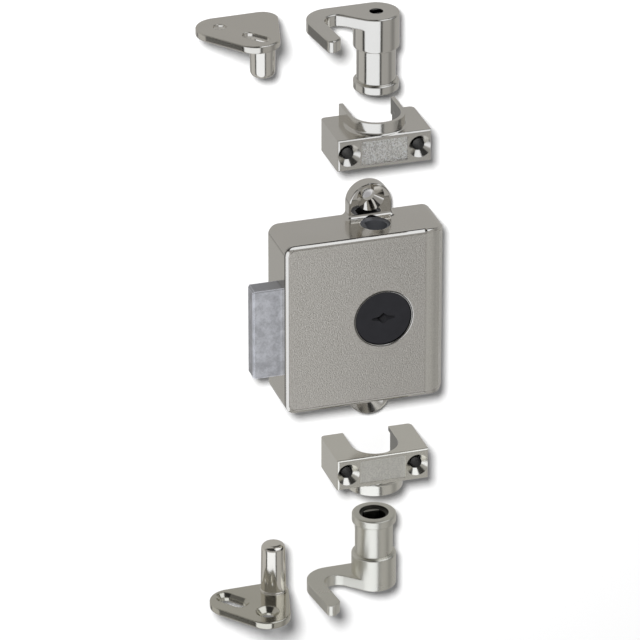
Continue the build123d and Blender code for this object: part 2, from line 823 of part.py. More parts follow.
def hook_arm():
    """The arm's outline about the rod axis. The claw opens towards the room.

    Its front edge is the line that touches the throat and the barrel on opposite sides.
    """
    door_side, bolt_side, door_side_again = 90, 180, 450
    heel = (hook_heel_r - hook_reach, hook_back - hook_heel_r)
    throat = (hook_throat_x, -hook_throat_front)
    barrel = (0, 0)
    tip_outer = (hook_tip_outer_x, -hook_tip_outer_front)
    tip_inner = (hook_tip_inner_x, -hook_tip_inner_front)
    to_tip = (tip_outer[0] - heel[0], tip_outer[1] - heel[1])
    tip_bearing = math.degrees(math.atan2(to_tip[1], to_tip[0])) + 360
    heel_end = tip_bearing - math.degrees(math.acos(hook_heel_r / math.hypot(*to_tip)))
    throat_bearing = math.degrees(math.atan2(-throat[1], -throat[0]))
    touch_share = (hook_throat_r + hook_barrel_r) / math.hypot(*throat)
    touch = throat_bearing + math.degrees(math.acos(touch_share))
    with BuildLine() as outline:
        Line(on_circle(barrel, hook_barrel_r, door_side), on_circle(heel, hook_heel_r, door_side))
        arc(heel, hook_heel_r, door_side, heel_end)
        Polyline(
            on_circle(heel, hook_heel_r, heel_end), tip_outer, tip_inner,
            on_circle(throat, hook_throat_r, bolt_side),
        )
        arc(throat, hook_throat_r, bolt_side, touch)
        Line(on_circle(throat, hook_throat_r, touch), on_circle(barrel, hook_barrel_r, touch + 180))
        arc(barrel, hook_barrel_r, touch + 180, door_side_again)
    make_face(outline.edges())


def hook(name, near_z, side):
    """A hook that a rod turns. near_z is the end of its tube, towards the lock case."""
    neck_start = hook_flange_t
    barrel_start = neck_start + hook_neck_length
    plate_start = barrel_start + hook_barrel_length
    total = plate_start + hook_plate_t
    with BuildPart() as piece:
        with BuildSketch(level(near_z + side * plate_start)):
            hook_arm()
        extrude(amount=side * hook_plate_t)
        tip_corners = piece.edges().filter_by(Axis.Z).sort_by(Axis.Y)[:2]
        fillet(tip_corners, hook_tip_r)
        far_rim = piece.faces().filter_by(Axis.Z).sort_by(Axis.Z)[-1 if side > 0 else 0].edges()
        fillet(far_rim, hook_rim_r)
        with BuildSketch(level(near_z + side * barrel_start)):
            Circle(hook_barrel_r)
        extrude(amount=side * hook_barrel_length)
        shoulder = piece.edges().filter_by(
            lambda e: abs(e.center().Z - near_z - side * barrel_start) < pick_tolerance
        )
        fillet(shoulder, hook_shoulder_r)
        with BuildSketch(level(near_z + side * neck_start)):
            Circle(hook_neck_r)
        extrude(amount=side * (hook_neck_length + hook_barrel_length))
        with BuildSketch(level(near_z)):
            Circle(hook_flange_r)
        extrude(amount=side * hook_flange_t)
        flange_rims = piece.edges().filter_by(GeomType.CIRCLE).filter_by(
            lambda e: abs(e.radius - hook_flange_r) < pick_tolerance
        )
        fillet(flange_rims, hook_rim_r)

        with BuildSketch(level(near_z)):
            Circle(hook_mouth_relief_r)
        extrude(amount=side * hook_mouth_relief_depth, mode=Mode.SUBTRACT)
        with BuildSketch(level(near_z)):
            rod_section(rod_bore_r, rod_flat_offset, 90)
        extrude(amount=side * (total - hook_bore_floor), mode=Mode.SUBTRACT)
        with BuildSketch(level(near_z)):
            Circle(hook_pilot_r)
            Rectangle(2 * hook_pilot_r, 2 * hook_pilot_flat, mode=Mode.INTERSECT)
        extrude(amount=side * total, mode=Mode.SUBTRACT)
    export(piece, name)


hook("top_hook", top_hook_z, 1)
hook("bottom_hook", bottom_hook_z, -1)


def strike_plate(name, x, front, near_z, side):
    """A plate with the pin for a hook. near_z is the pin's side of the plate.

    side is 1 where the plate is above its pin, and -1 where it is below. The round
    hole and the slot change places, because it is the same part turned over.
    """
    plane = Plane((x, -rod_axis_depth - front, near_z), x_dir=(1, 0, 0), z_dir=(0, 0, 1))
    hole = on_circle((0, 0), strike_reach, -strike_aim_angle - side * strike_spread_angle)
    slot = on_circle((0, 0), strike_reach, -strike_aim_angle + side * strike_spread_angle)
    run_angle = math.degrees(math.atan2(hole[1] - slot[1], hole[0] - slot[0]))
    slot_place = Location((slot[0], slot[1], 0), (0, 0, run_angle))
    with BuildPart() as plate:
        with BuildSketch(plane):
            Circle(strike_pin_lobe_r)
            with Locations(hole, slot):
                Circle(strike_lobe_r)
            make_hull()
        extrude(amount=side * strike_t)
        fillet(plate.faces().filter_by(Axis.Z).edges(), strike_edge_r)

        # Tapered pin with a rounded end and a ring at its foot, riveted into the plate
        with BuildSketch(plane.offset(side * strike_t / 2)):
            Circle(strike_pin_r)
        extrude(amount=-side * strike_t / 2)
        with BuildSketch(plane):
            Circle(strike_pin_ring_r)
        extrude(amount=-side * strike_pin_ring_t)
        with BuildSketch(plane):
            Circle(strike_pin_r)
        pin_taper = math.degrees(math.atan((strike_pin_r - strike_pin_tip_r) / strike_pin_length))
        extrude(amount=-side * strike_pin_length, taper=pin_taper)
        pin_end = plate.edges().filter_by(GeomType.CIRCLE).sort_by(Axis.Z)[0 if side > 0 else -1]
        fillet(pin_end, strike_pin_round)

        # Round hole and slot, both countersunk on the pin's side
        with BuildSketch(plane):
            with Locations(hole):
                Circle(strike_screw_r)
            with Locations(slot_place):
                SlotCenterToCenter(strike_slot_run, 2 * strike_screw_r)
        extrude(amount=side * strike_t, mode=Mode.SUBTRACT)
        with BuildSketch(plane):
            with Locations(hole):
                Circle(strike_hole_head_r)
        extrude(amount=side * (strike_hole_head_r - strike_screw_r), taper=sink_taper, mode=Mode.SUBTRACT)
        with BuildSketch(plane):
            with Locations(slot_place):
                SlotCenterToCenter(strike_slot_run, 2 * strike_slot_head_r)
        extrude(amount=side * (strike_slot_head_r - strike_screw_r), taper=sink_taper, mode=Mode.SUBTRACT)
    export(plate, name)


strike_plate("top_strike_plate", top_strike_x, top_strike_front, top_strike_z, 1)
strike_plate("bottom_strike_plate", bottom_strike_x, bottom_strike_front, bottom_strike_z, -1)
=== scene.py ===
import math

import bpy
from mathutils import Matrix, Vector

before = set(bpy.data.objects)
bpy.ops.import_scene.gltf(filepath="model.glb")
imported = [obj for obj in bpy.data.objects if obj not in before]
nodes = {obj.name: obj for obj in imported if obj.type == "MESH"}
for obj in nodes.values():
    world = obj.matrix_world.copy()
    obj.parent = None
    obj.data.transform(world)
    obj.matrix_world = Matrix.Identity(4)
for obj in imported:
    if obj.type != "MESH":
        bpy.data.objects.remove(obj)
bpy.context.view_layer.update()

# Sizes of the part that the finishes follow, in metres: first the case and the bolt
CASE_DEPTH = 0.020
CASE_HALF_HEIGHT = 0.0315
CASE_LEFT = -0.035
PANEL_MARGIN = 0.0013
PANEL_RIGHT = 0.015
BEAD_R = 0.0014
EAR_START = CASE_HALF_HEIGHT + 0.0002
BOLT_TOP_START = 0.0142

# The sleeve round the rotor, and the rotor's slot
SLEEVE_BORE_R = 0.010
SLOT_R = 0.0048
SLOT_FRONT = -0.0193

# The rods' axis, the case's holes for them, and their bores in the hooks
ROD_AXIS_DEPTH = 0.010
ROD_HOLE_R = 0.00515
ROD_BORE_R = 0.0041
ROD_BORE_END = 0.1055
ROD_MOUTH_R = 0.0052
ROD_FLAT_OFFSET = 0.0030
PILOT_R = 0.0023

# The guides
GUIDE_DEPTH = 0.020
RECESS_REACH = 0.00045
GUIDE_PANEL_HALF = 0.00815
GUIDE_PANEL_HALF_HEIGHT = 0.00435
GUIDE_HALF_HEIGHT = 0.0057
GUIDE_SCREW_X = 0.0125
GUIDE_SCREW_R = 0.00213
CHANNEL_R = 0.0091
RING_R = 0.0099
RING_RISE = 0.0044
RING_ROOT_R = 0.0012
TOP_GUIDE_Z = 0.0631
BOTTOM_GUIDE_Z = -0.0583

# The strikes' pins: a radius just beyond the rings at their feet, and the points at those feet
PIN_R = 0.0050
TOP_PIN = (-0.0404, -0.0124, 0.1114)
BOTTOM_PIN = (-0.0380, -0.0144, -0.1020)

# Colours of bare metal
NICKEL = (0.70, 0.68, 0.635)
WARM_NICKEL = (0.68, 0.655, 0.60)
WARM_PIN = (0.77, 0.745, 0.69)
LIGHT_NICKEL = (0.81, 0.79, 0.72)
HOOK_NICKEL = (0.77, 0.755, 0.68)
# Painted shade: a darker copy of the strikes' nickel for the bottom strike's plate
SHADED_STRIKE_NICKEL = (0.63, 0.61, 0.53)
PALE_PIN = (0.82, 0.79, 0.72)
CASE_DARK = (0.66, 0.635, 0.585)
CASE_LIGHT = (0.74, 0.72, 0.68)
LEFT_DARK = (0.66, 0.635, 0.575)
LEFT_LIGHT = (0.74, 0.72, 0.665)
GRAIN_DARK = (0.58, 0.553, 0.500)
GRAIN_LIGHT = (0.80, 0.765, 0.705)
ROLL_DARK = (0.78, 0.76, 0.705)
ROLL_LIGHT = (0.88, 0.86, 0.80)
# Painted highlight on the rims of the rods' holes
HOLE_RIM_HIGHLIGHT = (0.95, 0.93, 0.9)
BOLT_ZINC = (0.57, 0.577, 0.61)
# Painted shade: a darker copy of the zinc for the parts inside the case
SHADED_INNER_ZINC = (0.16, 0.165, 0.18)
PLATED_STEEL = (0.66, 0.67, 0.68)

# Colours of the plastic, and the lighter grey inside its slot
PLASTIC_DARK = (0.006, 0.006, 0.008)
PLASTIC_LIGHT = (0.011, 0.011, 0.014)
SLOT_GREY = (0.026, 0.026, 0.029)

# Widths over which tinted areas fade, and the margin that tells one face from the next, in metres
SOFT = 0.0002
FINE = 0.0001
THIN = 0.00008
SHARP = 0.00002
FACE_GAP = 0.00005

# Radii of softened edges: on bright pieces, and of the painted highlight along the zinc's edges
EDGE_R = 0.0006
EDGE_HIGHLIGHT_R = 0.0005

# Camera, seen from the left and from above with a long lens
CAMERA_AZIMUTH = -17.854
CAMERA_ELEVATION = 26.457
CAMERA_ROLL = 0.22
CAMERA_DISTANCE = 2.010
CAMERA_LENS_PX = 5851.0
IMAGE_PX = 640.0
ORIGIN_PX = (365.98, 294.01)
SENSOR_MM = 36.0

# Backdrop that stands for the door, with painted shade behind the upper screw hole, and a floor well below it
BACKDROP_Y = 0.0015
FLOOR_Z = -0.175
STAGE_HALF = 3.0
PAINTED_HOLE_SHADE = (0.0008, 0.0368)
PAINTED_HOLE_SHADE_R = 0.0036

# Soft key light a little above and to the left of the camera
KEY_SIDE = -0.075
KEY_RISE = 0.085
KEY_DISTANCE = 2.0
KEY_SIZE = 0.30
KEY_POWER = 50.0

# Studio: how bright its panels look in metal, how bright it is to dull surfaces, and its tints
PANEL_GLOW = 1.13
DULL_GLOW = 0.20
WALL_TINT = (1.0, 0.99, 0.97)
PANEL_TINT = (0.97, 1.0, 1.06)


class Nodes:
    """A short way to build a node tree: each call adds nodes and links or sets their inputs."""

    def __init__(self, tree):
        self.tree = tree
        tree.nodes.clear()

    def add(self, kind, inputs=None, output=0, **settings):
        node = self.tree.nodes.new("ShaderNode" + kind)
        for key, value in settings.items():
            setattr(node, key, value)
        for key, value in (inputs or {}).items():
            if isinstance(value, bpy.types.NodeSocket):
                self.tree.links.new(value, node.inputs[key])
            else:
                node.inputs[key].default_value = value
        return node.outputs[output]

    def math(self, operation, a, b=0.0, c=0.0):
        return self.add("Math", {0: a, 1: b, 2: c}, operation=operation)

    def both(self, *masks):
        """The product: 1 where all of these masks are 1."""
        product = masks[0]
        for mask in masks[1:]:
            product = self.math("MULTIPLY", product, mask)
        return product

    def either(self, a, b):
        return self.math("MAXIMUM", a, b)

    def without(self, mask):
        """1 where the mask is 0."""
        return self.math("SUBTRACT", 1.0, mask)

    def clamp(self, value):
        return self.math("MAXIMUM", self.math("MINIMUM", value, 1.0), 0.0)

    def ramp(self, value, low, high):
        """0 below low and 1 above high, with a smooth step between."""
        return self.add("MapRange", {"Value": value, "From Min": low, "From Max": high},
                        interpolation_type="SMOOTHSTEP")

    def fall(self, value, low, high):
        """1 below low and 0 above high, with a smooth step between."""
        return self.without(self.ramp(value, low, high))

    def band(self, value, low, high, soft):
        """1 between low and high, with soft edges."""
        return self.both(self.ramp(value, low - soft, low + soft), self.fall(value, high - soft, high + soft))

    def distance(self, a, b):
        """The length of a step with these two coordinates."""
        return self.math("SQRT", self.math("ADD", self.math("MULTIPLY", a, a), self.math("MULTIPLY", b, b)))

    def mix(self, factor, a, b):
        return self.add("Mix", {"Factor": factor, 6: a, 7: b}, output=2, data_type="RGBA")

    def blend(self, factor, a, b):
        """A number between a and b."""
        return self.add("Mix", {"Factor": factor, 2: a, 3: b}, data_type="FLOAT")

    def noise(self, place, scale, detail=2.0, roughness=0.5):
        return self.add("TexNoise", {"Vector": place, "Scale": scale, "Detail": detail,
                                     "Roughness": roughness})

    def geometry(self, name):
        return self.tree.nodes.new("ShaderNodeNewGeometry").outputs[name]

    def place(self, kind):
        """Texture coordinates of this kind, as a vector and as x, y and z."""
        place = self.tree.nodes.new("ShaderNodeTexCoord").outputs[kind]
        split = self.tree.nodes.new("ShaderNodeSeparateXYZ")
        self.tree.links.new(place, split.inputs[0])
        return place, split.outputs[0], split.outputs[1], split.outputs[2]

    def output(self, shader, kind="OutputMaterial"):
        node = self.tree.nodes.new("ShaderNode" + kind)
        self.tree.links.new(shader, node.inputs["Surface"])


def grey(value, tint=(1.0, 1.0, 1.0)):
    """A grey of this value, or this share of a colour, with full alpha."""
    return (value * tint[0], value * tint[1], value * tint[2], 1.0)


def new_material(name):
    material = bpy.data.materials.new(name)
    material.use_nodes = True
    return material, Nodes(material.node_tree)


def clouded(n, cloud, colour, dark=0.95, light=1.05):
    """One colour with darker and lighter clouds."""
    return n.mix(cloud, grey(dark, colour), grey(light, colour))


def speckled(n, grain, dark, light, dark_share=1.0, light_share=None):
    """Two colours that change with the grain of a textured front."""
    if light_share is None:
        light_share = dark_share
    return n.mix(n.ramp(grain, 0.36, 0.64), grey(dark_share, dark), grey(light_share, light))


def softened(n, radius):
    """The surface's normal with its edges rounded to this radius."""
    return n.add("Bevel", {"Radius": radius}, samples=6)


def finish_metal(n, colour, roughness, bumps, metallic=1.0, edge_r=0.0):
    """The shader of a piece.

    bumps are pairs of a height and a distance in metres, and edge_r softens the edges.
    """
    normal = softened(n, edge_r) if edge_r else None
    for height, distance in bumps:
        inputs = {"Height": height, "Distance": distance, "Strength": 1.0}
        if normal is not None:
            inputs["Normal"] = normal
        normal = n.add("Bump", inputs)
    inputs = {"Base Color": colour, "Roughness": roughness, "Metallic": metallic}
    if normal is not None:
        inputs["Normal"] = normal
    n.output(n.add("BsdfPrincipled", inputs))


def about_rod_axis(n, x, y):
    """The distance from the rod axis, in metres."""
    return n.distance(x, n.math("ADD", y, ROD_AXIS_DEPTH))


def rounding(n, past, radius):
    """The height of a surface whose edges are rounded to this radius.

    past holds, for each edge, how far a point lies beyond the start of its rounding.
    """
    drop = 0.5 * radius
    for step in past:
        inner = n.math("MAXIMUM", step, 0.0)
        drop = n.math("MULTIPLY_ADD", n.math("MULTIPLY", inner, inner), -0.5 / radius, drop)
    return drop


def case_material():
    """Satin nickel with a grained front, a polished bead and upper ear, and a blurred lower ear."""
    material, n = new_material("case_nickel")
    place, x, y, z = n.place("Object")
    depth = n.math("MULTIPLY", y, -1.0)
    height = n.math("ABSOLUTE", z)
    grain = n.noise(place, 2100.0, 3.0, 0.7)
    lines = n.noise(place, 900.0, 2.0)
    waves = n.noise(place, 260.0, 1.0)
    cloud = n.noise(place, 45.0, 3.0)

    # Where the grain, the bead, the ears, the left side and the rims of the rods' holes are
    panel_left = CASE_LEFT + PANEL_MARGIN
    panel_top = CASE_HALF_HEIGHT - PANEL_MARGIN
    inside = n.both(n.ramp(x, panel_left - SOFT, panel_left + SOFT),
                    n.fall(height, panel_top - SOFT, panel_top + SOFT))
    on_flat = n.ramp(depth, CASE_DEPTH - 0.00015, CASE_DEPTH - THIN)
    on_roll = n.ramp(x, PANEL_RIGHT - 0.0005, PANEL_RIGHT + 0.0005)
    grained = n.both(inside, n.either(on_flat, on_roll))
    on_bead = n.both(n.ramp(depth, CASE_DEPTH - 0.0015, CASE_DEPTH - 0.0012),
                     n.without(n.either(grained, on_roll)))
    on_ear = n.ramp(height, EAR_START, EAR_START + 0.0004)
    on_top_ear = n.both(on_ear, n.ramp(z, 0.0, 0.001))
    on_left = n.math("LESS_THAN", x, CASE_LEFT + FINE)
    hole_rim_highlight = n.both(n.band(about_rod_axis(n, x, y), ROD_HOLE_R - FINE, ROD_HOLE_R + 0.0003, THIN),
                      n.without(on_ear))

    # The bead's rounding, and a painted dark reflection as a line behind it
    past_front = n.math("SUBTRACT", depth, CASE_DEPTH - BEAD_R)
    past_end = n.math("SUBTRACT", height, CASE_HALF_HEIGHT - BEAD_R)
    past_left = n.math("SUBTRACT", CASE_LEFT + BEAD_R, x)
    has_bead = n.without(n.either(on_ear, on_roll))
    bead_height = n.both(rounding(n, [past_front, past_end, past_left], BEAD_R),
                         n.ramp(past_front, -0.0006, 0.0), has_bead)
    painted_dark_line = n.both(n.band(past_front, 0.0001, 0.0007, FINE), has_bead)

    tint = n.mix(cloud, grey(1.0, CASE_DARK), grey(1.0, CASE_LIGHT))
    tint = n.mix(grained, tint, speckled(n, grain, GRAIN_DARK, GRAIN_LIGHT))
    # painted shade: the grained front darkens towards its right
    tint = n.mix(n.both(grained, n.ramp(x, -0.030, 0.012)), tint,
                 speckled(n, grain, GRAIN_DARK, GRAIN_LIGHT, 0.88))
    tint = n.mix(n.both(grained, on_roll), tint, speckled(n, grain, ROLL_DARK, ROLL_LIGHT, 0.94))
    # painted shade: the left side takes a darker copy of the case's colours
    tint = n.mix(on_left, tint, n.mix(cloud, grey(0.9, LEFT_DARK), grey(0.9, LEFT_LIGHT)))
    # painted highlight: a bright ring round the rods' holes
    tint = n.mix(hole_rim_highlight, tint, grey(1.0, HOLE_RIM_HIGHLIGHT))
    # painted dark reflection: a dark line behind the bead
    tint = n.mix(painted_dark_line, tint, grey(0.16, NICKEL))

    roughness = n.blend(on_bead, n.math("MULTIPLY_ADD", cloud, 0.08, 0.12), 0.07)
    roughness = n.blend(on_ear, roughness, 0.26)
    roughness = n.blend(on_top_ear, roughness, 0.06)
    roughness = n.blend(grained, roughness, 0.33)

    fading = n.without(n.math("MULTIPLY", on_roll, 0.75))
    finish_metal(n, tint, roughness, [
        (n.both(grained, grain, fading), 0.00021), (lines, 0.000002),
        (n.both(on_top_ear, waves), 0.00004), (bead_height, 1.0),
    ])
    return material


def ring_root(n, x, y, z, middle_z):
    """The height of the small fillet where a guide's half ring leaves its body."""
    side = math.copysign(1.0, middle_z)
    above_face = n.math("MULTIPLY_ADD", z, side, -(abs(middle_z) + GUIDE_HALF_HEIGHT))
    from_axis = about_rod_axis(n, x, y)
    off_wall = n.math("SUBTRACT", from_axis, RING_R)
    near_face = n.clamp(n.without(n.math("MULTIPLY", above_face, 1.0 / RING_ROOT_R)))
    near_wall = n.clamp(n.without(n.math("MULTIPLY", off_wall, 1.0 / RING_ROOT_R)))
    outside_ring = n.math("GREATER_THAN", from_axis, RING_R - FACE_GAP)
    root = n.both(near_face, near_wall, outside_ring, n.math("GREATER_THAN", above_face, -FACE_GAP))
    return n.math("MULTIPLY", n.math("MULTIPLY", root, root), 0.5 * RING_ROOT_R)


def guide_material(name, base, light, coarse, middle_z):
    """Satin nickel with a grained panel between screw holes, and painted shade in the screw holes and in the
    channel for the rod.
    """
    material, n = new_material(name)
    place, x, y, z = n.place("Object")
    depth = n.math("MULTIPLY", y, -1.0)
    sideways = n.math("ABSOLUTE", x)
    from_middle = n.math("SUBTRACT", z, middle_z)
    grain = n.noise(place, 2000.0, 3.0, 0.7)
    cloud = n.noise(place, 60.0, 3.0)

    in_recess = n.band(depth, GUIDE_DEPTH - RECESS_REACH, GUIDE_DEPTH - FINE, FINE)
    across = n.fall(sideways, GUIDE_PANEL_HALF - FINE, GUIDE_PANEL_HALF + FINE)
    along = n.fall(n.math("ABSOLUTE", from_middle), GUIDE_PANEL_HALF_HEIGHT, GUIDE_PANEL_HALF_HEIGHT + SOFT)
    grained = n.both(in_recess, across, along)
    from_screw = n.distance(n.math("SUBTRACT", sideways, GUIDE_SCREW_X), from_middle)
    in_screw_hole = n.fall(from_screw, GUIDE_SCREW_R - SHARP, GUIDE_SCREW_R + SHARP)
    before_axis = n.math("MAXIMUM", n.math("SUBTRACT", -ROD_AXIS_DEPTH, y), 0.0)
    top_z = middle_z + GUIDE_HALF_HEIGHT + (RING_RISE if middle_z > 0.0 else 0.0)
    in_channel = n.both(n.fall(n.distance(x, before_axis), CHANNEL_R, CHANNEL_R + SOFT),
                        n.math("LESS_THAN", z, top_z - FINE))

    tint = clouded(n, cloud, base, 0.94, 1.06)
    tint = n.mix(grained, tint, speckled(n, grain, base, base, light - 0.45 * coarse, light + 0.3 * coarse))
    # painted shade inside the screw holes
    tint = n.mix(in_screw_hole, tint, grey(0.4))
    # painted shade on the walls of the rod's channel
    tint = n.mix(in_channel, tint, grey(0.3, base))
    roughness = n.blend(grained, n.math("MULTIPLY_ADD", cloud, 0.08, 0.14), 0.33)
    finish_metal(n, tint, roughness, [
        (n.both(grained, grain), 0.0006 * coarse), (ring_root(n, x, y, z, middle_z), 1.0),
    ])
    return material


def finish_bright(n, place, tint, cloud, roughness, waviness):
    """A bright surface: slight waves, softened edges, and a roughness that changes with the clouds."""
    waves = n.noise(place, 160.0, 1.0)
    finish_metal(n, tint, n.math("MULTIPLY_ADD", cloud, roughness * 0.6, roughness * 0.7),
                 [(waves, waviness)], edge_r=EDGE_R)


def hook_material(name, colour, roughness, waviness):
    """Bright nickel outside, with painted shade in the rod's bore, left lighter on the flat as a painted lit
    face.
    """
    material, n = new_material(name)
    place, x, y, z = n.place("Object")
    cloud = n.noise(place, 70.0, 3.0)
    from_axis = about_rod_axis(n, x, y)
    outside_bore = n.ramp(from_axis, ROD_MOUTH_R - THIN, ROD_MOUTH_R)
    past_bore = n.both(n.ramp(n.math("ABSOLUTE", z), ROD_BORE_END - SOFT, ROD_BORE_END),
                       n.ramp(from_axis, PILOT_R, PILOT_R + FINE))
    on_flat = n.both(n.math("GREATER_THAN", y, ROD_FLAT_OFFSET - ROD_AXIS_DEPTH),
                     n.math("LESS_THAN", from_axis, ROD_BORE_R + FINE))
    # painted shade in the bore, with a painted lit face on the flat
    bore = n.mix(on_flat, grey(0.16, colour), grey(0.90, colour))
    tint = n.mix(n.either(outside_bore, past_bore), bore, clouded(n, cloud, colour))
    finish_bright(n, place, tint, cloud, roughness, waviness)
    return material


def strike_material(name, plate_colour, pin_colour, pin):
    """Bright nickel; the pin, whose foot is at this point, has a colour of its own."""
    material, n = new_material(name)
    place, x, y, z = n.place("Object")
    cloud = n.noise(place, 70.0, 3.0)
    from_pin = n.distance(n.math("SUBTRACT", x, pin[0]), n.math("SUBTRACT", y, pin[1]))
    inward = n.math("LESS_THAN", n.math("ABSOLUTE", z), abs(pin[2]))
    on_pin = n.both(inward, n.math("LESS_THAN", from_pin, PIN_R))
    tint = n.mix(on_pin, clouded(n, cloud, plate_colour), clouded(n, cloud, pin_colour))
    finish_bright(n, place, tint, cloud, 0.13, 0.00001)
    return material


def plated_steel():
    """Bright plating on sheet steel, screws and pins."""
    material, n = new_material("zinc_plate")
    place = n.place("Object")[0]
    cloud = n.noise(place, 70.0, 3.0)
    finish_bright(n, place, clouded(n, cloud, PLATED_STEEL), cloud, 0.3, 0.000005)
    return material


def sleeve_material():
    """Bright wall round the rotor, with painted shade on its front rim."""
    material, n = new_material("sleeve_nickel")
    place, x, _, z = n.place("Object")
    painted_shade_rim = n.ramp(n.distance(x, z), SLEEVE_BORE_R + FINE, SLEEVE_BORE_R + SOFT)
    cloud = n.noise(place, 300.0, 2.0)
    # painted shade: the front rim is darkened
    tint = n.mix(painted_shade_rim, clouded(n, cloud, NICKEL, 0.9, 1.1), grey(0.10, NICKEL))
    finish_metal(n, tint, 0.15, [])
    return material


def painted_edge_highlight(n, radius):
    """1 along edges, from the angle between the surface and a softened normal: where the painted highlight
    goes.
    """
    likeness = n.add("VectorMath", {0: softened(n, radius), 1: n.geometry("Normal")}, output=1,
                     operation="DOT_PRODUCT")
    return n.fall(likeness, 0.90, 0.995)


def zinc(name, colour, roughness, top=1.0):
    """Dull zinc with patches, as it comes out of the mould, with a painted highlight along its edges.

    top is the share of its brightness that is left to what lies as high as the bolt's top: painted shade on
    the bolt's top face.
    """
    material, n = new_material(name)
    place, _, _, z = n.place("Object")
    patches = n.noise(place, 260.0, 6.0, 0.75)
    fine = n.noise(place, 1500.0, 2.0)
    tint = clouded(n, n.ramp(patches, 0.32, 0.68), colour, 0.76, 1.2)
    # painted shade on the top face, at the share top
    on_shaded_top = n.ramp(z, BOLT_TOP_START, BOLT_TOP_START + 0.0003)
    tint = n.mix(on_shaded_top, tint, clouded(n, patches, colour, 0.76 * top, 1.2 * top))
    # painted highlight: lighter along the edges
    tint = n.mix(painted_edge_highlight(n, EDGE_HIGHLIGHT_R), tint, grey(1.5, colour))
    finish_metal(n, tint, n.math("MULTIPLY_ADD", patches, 0.2, roughness),
                 [(patches, 0.00003), (fine, 0.00001)], metallic=0.75)
    return material


def black_plastic():
    """Moulded black plastic with a faint texture, a lighter grey inside the slot."""
    material, n = new_material("black_plastic")
    place, x, y, z = n.place("Object")
    fine = n.noise(place, 2500.0, 2.0)
    cloud = n.noise(place, 250.0, 2.0)
    in_slot = n.both(n.ramp(y, SLOT_FRONT, SLOT_FRONT + FINE),
                     n.fall(n.distance(x, z), SLOT_R, SLOT_R + FINE))
    tint = n.mix(cloud, grey(1.0, PLASTIC_DARK), grey(1.0, PLASTIC_LIGHT))
    tint = n.mix(in_slot, tint, grey(1.0, SLOT_GREY))
    finish_metal(n, tint, n.math("MULTIPLY_ADD", cloud, 0.12, 0.3), [(fine, 0.00001)], metallic=0.0)
    return material


FINISHES = {
    case_material(): ["case_shell"],
    guide_material("top_guide_nickel", NICKEL, 1.32, 1.0, TOP_GUIDE_Z): ["top_guide"],
    guide_material("bottom_guide_nickel", LIGHT_NICKEL, 0.93, 0.22, BOTTOM_GUIDE_Z): ["bottom_guide"],
    hook_material("top_hook_nickel", NICKEL, 0.12, 0.000025): ["top_hook"],
    hook_material("bottom_hook_nickel", HOOK_NICKEL, 0.30, 0.00002): ["bottom_hook"],
    strike_material("top_strike_nickel", WARM_NICKEL, WARM_PIN, TOP_PIN): ["top_strike_plate"],
    # the bottom strike's plate takes a darker copy of the nickel: painted shade
    strike_material("bottom_strike_nickel", SHADED_STRIKE_NICKEL, PALE_PIN, BOTTOM_PIN): ["bottom_strike_plate"],
    sleeve_material(): ["core_sleeve"],
    plated_steel(): [
        "back_plate", "back_plate_screws", "bolt_guide_pins", "detent_spring", "detent_spring_screw",
        "rotor_circlip",
    ],
    # 0.72: painted shade on the bolt's top face
    zinc("bolt_zinc", BOLT_ZINC, 0.34, 0.72): ["bolt"],
    # painted shade: the parts inside the case take a darker zinc
    zinc("inner_zinc", SHADED_INNER_ZINC, 0.35): [
        "upper_rod_socket", "lower_rod_socket", "upper_socket_bridge", "lower_socket_bridge",
    ],
    black_plastic(): ["key_rotor"],
}
for material, members in FINISHES.items():
    for member in members:
        for slot in nodes[member].material_slots:
            slot.material = material


def camera_axes():
    """The camera's back, right and up directions before it is aimed off the origin."""
    azimuth, elevation, roll = (math.radians(a) for a in (CAMERA_AZIMUTH, CAMERA_ELEVATION, CAMERA_ROLL))
    back = Vector((math.sin(azimuth) * math.cos(elevation), -math.cos(azimuth) * math.cos(elevation),
                   math.sin(elevation)))
    level = Vector((0, 0, 1)).cross(back).normalized()
    upward = back.cross(level)
    right = level * math.cos(roll) + upward * math.sin(roll)
    up = upward * math.cos(roll) - level * math.sin(roll)
    return back, right, up


def add_camera(back, right, up):
    """A camera that shows the part's origin at ORIGIN_PX."""
    aim_x = (IMAGE_PX / 2 - ORIGIN_PX[0]) / CAMERA_LENS_PX
    aim_y = (ORIGIN_PX[1] - IMAGE_PX / 2) / CAMERA_LENS_PX
    forward = (right * aim_x + up * aim_y - back).normalized()
    side = forward.cross(up).normalized()
    upright = side.cross(forward)
    data = bpy.data.cameras.new("camera")
    data.sensor_width = SENSOR_MM
    data.lens = CAMERA_LENS_PX / IMAGE_PX * SENSOR_MM
    data.clip_start = 0.05
    camera = bpy.data.objects.new("camera", data)
    turn = Matrix((side, upright, -forward)).transposed().to_4x4()
    camera.matrix_world = Matrix.Translation(back * CAMERA_DISTANCE) @ turn
    bpy.context.scene.collection.objects.link(camera)
    bpy.context.scene.camera = camera


def sheet(name, corners, material):
    mesh = bpy.data.meshes.new(name)
    mesh.from_pydata(corners, [], [(0, 1, 2, 3)])
    obj = bpy.data.objects.new(name, mesh)
    obj.data.materials.append(material)
    bpy.context.scene.collection.objects.link(obj)
    return obj


def floor_paper():
    """Pale paper with a little light of its own, so that it stays pale away from the lamp."""
    material, n = new_material("floor_paper")
    lit = n.add("BsdfDiffuse", {"Color": grey(0.45)})
    glow = n.add("Emission", {"Color": grey(1.0), "Strength": 0.5})
    n.output(n.add("AddShader", {0: lit, 1: glow}))
    return material


